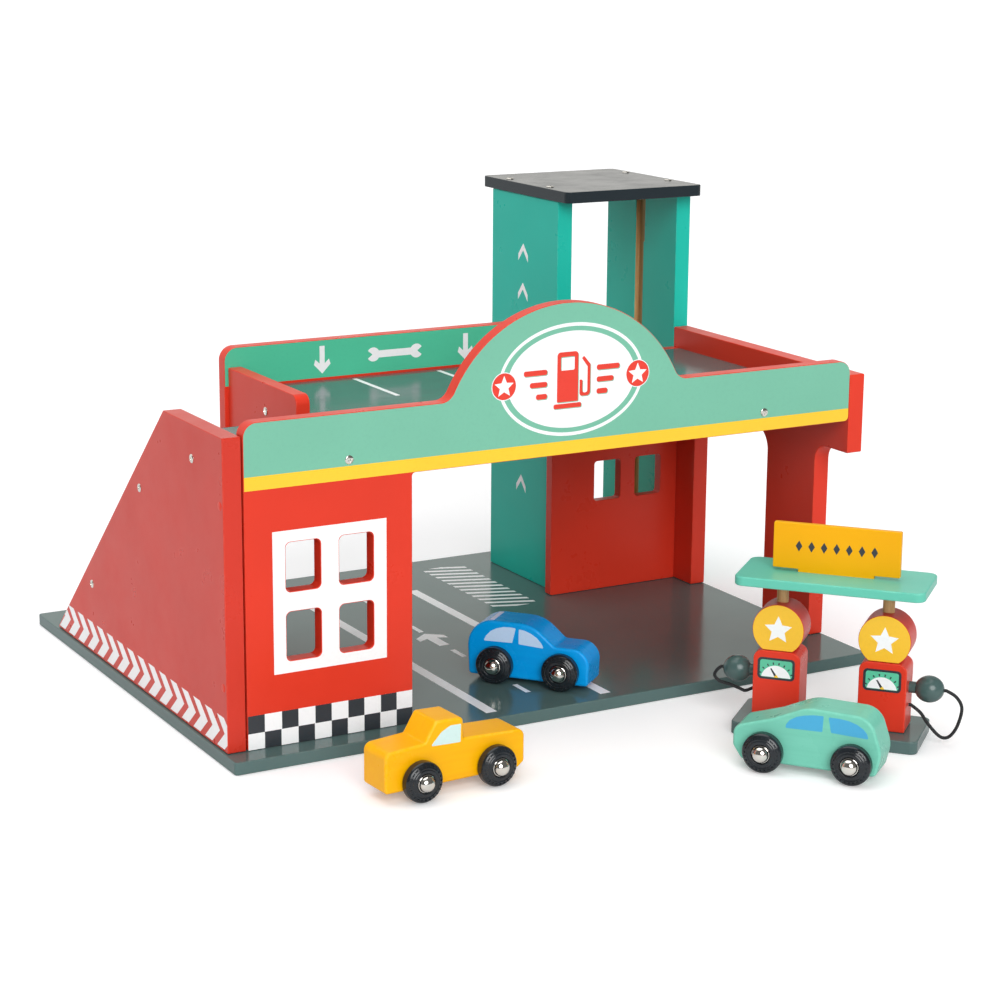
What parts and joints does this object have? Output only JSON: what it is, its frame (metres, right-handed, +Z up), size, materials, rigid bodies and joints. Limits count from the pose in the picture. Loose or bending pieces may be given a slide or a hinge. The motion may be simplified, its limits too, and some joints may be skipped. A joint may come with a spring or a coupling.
{
  "type": "wooden toy service station",
  "caption": "Painted wooden toy garage with a parking deck, ramp and lift tower, a free-standing fuel pump island with corded nozzles, and rolling toy cars.",
  "frame": {"origin": "middle of the base board's underside, on the surface that the toy stands on", "axes": "+X to the right along the garage's front edge, +Y back into the garage, +Z up"},
  "size_m": [0.5852, 0.6859, 0.3822],
  "materials": {
    "slate_paint": "satin dark grey paint on smooth board",
    "red_paint": "satin red paint on smooth board",
    "teal_paint": "satin pale teal paint on smooth board",
    "deep_teal_paint": "satin deep teal paint on smooth board",
    "yellow_paint": "satin yellow paint on wood",
    "amber_paint": "satin amber paint on wood",
    "pickup_paint": "satin yellow paint on solid wood",
    "blue_paint": "satin blue paint on solid wood",
    "mint_paint": "satin mint paint on solid wood",
    "beech": "bare sanded beech",
    "wheel_plastic": "dark moulded plastic with a slight sheen",
    "steel": "bright plated steel",
    "black_cord": "round black cord"
  },
  "bodies": {
    "station": {"base_board": "slate_paint", "canopy": "teal_paint", "canopy_sign": "amber_paint", "deck_board": "slate_paint", "dowel_left": "beech", "dowel_right": "beech", "estate_body": "mint_paint", "front_panel": "red_paint", "guard_screw_1": "steel", "hatchback_body": "blue_paint", "island_base": "slate_paint", "outer_wall_screw_1": "steel", "outer_wall_screw_2": "steel", "outer_wall_screw_3": "steel", "panel_screw_1": "steel", "panel_screw_2": "steel", "pickup_body": "pickup_paint", "pump_body_left": "red_paint", "pump_body_right": "red_paint", "pump_cord_left": "black_cord", "pump_cord_right": "black_cord", "pump_disc_left": "red_paint", "pump_disc_right": "red_paint", "ramp_board": "slate_paint", "ramp_guard_wall": "red_paint", "ramp_outer_wall": "red_paint", "rear_panel": "red_paint", "roof_screw_1": "steel", "roof_screw_2": "steel", "roof_screw_3": "steel", "roof_screw_4": "steel", "side_wall_right": "red_paint", "tower_roof": "slate_paint", "tower_wall_left": "deep_teal_paint", "tower_wall_right": "deep_teal_paint", "tower_window_panel": "red_paint", "wall_plug_1": "red_paint", "wall_plug_2": "red_paint"},
    "lift": {"lift_platform": "yellow_paint"},
    "nozzle_left": {"nozzle_left": "slate_paint"},
    "nozzle_right": {"nozzle_right": "slate_paint"},
    "pickup_left_axle": {"pickup_left_axle": "steel", "pickup_left_wheel_near": "wheel_plastic", "pickup_left_wheel_far": "wheel_plastic"},
    "pickup_right_axle": {"pickup_right_axle": "steel", "pickup_right_wheel_near": "wheel_plastic", "pickup_right_wheel_far": "wheel_plastic"},
    "hatchback_left_axle": {"hatchback_left_axle": "steel", "hatchback_left_wheel_near": "wheel_plastic", "hatchback_left_wheel_far": "wheel_plastic"},
    "hatchback_right_axle": {"hatchback_right_axle": "steel", "hatchback_right_wheel_near": "wheel_plastic", "hatchback_right_wheel_far": "wheel_plastic"},
    "estate_left_axle": {"estate_left_axle": "steel", "estate_left_wheel_near": "wheel_plastic", "estate_left_wheel_far": "wheel_plastic"},
    "estate_right_axle": {"estate_right_axle": "steel", "estate_right_wheel_near": "wheel_plastic", "estate_right_wheel_far": "wheel_plastic"}
  },
  "joints": [
    {"name": "lift_slide", "type": "slide", "parent": "station", "child": "lift", "axis": [0, 0, 1], "range_m": [0, 0.349]},
    {"name": "nozzle_left_pull", "type": "slide", "parent": "station", "child": "nozzle_left", "axis": [-0.6626, 0.749, 0], "range_m": [0, 0.0135], "deforming": ["pump_cord_left"]},
    {"name": "nozzle_right_pull", "type": "slide", "parent": "station", "child": "nozzle_right", "axis": [0.6626, -0.749, 0], "range_m": [0, 0.0135], "deforming": ["pump_cord_right"]},
    {"name": "pickup_left_roll", "type": "hinge", "parent": "station", "child": "pickup_left_axle", "pos_m": [-0.19573, -0.31248, 0.0155], "axis": [-0.068, 0.9977, 0], "continuous": true},
    {"name": "pickup_right_roll", "type": "hinge", "parent": "station", "child": "pickup_right_axle", "pos_m": [-0.13187, -0.30812, 0.0155], "axis": [-0.068, 0.9977, 0], "continuous": true},
    {"name": "hatchback_left_roll", "type": "hinge", "parent": "station", "child": "hatchback_left_axle", "pos_m": [-0.01455, -0.13142, 0.0258], "axis": [0.7604, 0.6494, 0], "continuous": true},
    {"name": "hatchback_right_roll", "type": "hinge", "parent": "station", "child": "hatchback_right_axle", "pos_m": [0.02215, -0.17438, 0.0258], "axis": [0.7604, 0.6494, 0], "continuous": true},
    {"name": "estate_left_roll", "type": "hinge", "parent": "station", "child": "estate_left_axle", "pos_m": [0.07396, -0.38493, 0.0155], "axis": [0.788, 0.6157, 0], "continuous": true},
    {"name": "estate_right_roll", "type": "hinge", "parent": "station", "child": "estate_right_axle", "pos_m": [0.11564, -0.43827, 0.0155], "axis": [0.788, 0.6157, 0], "continuous": true}
  ]
}
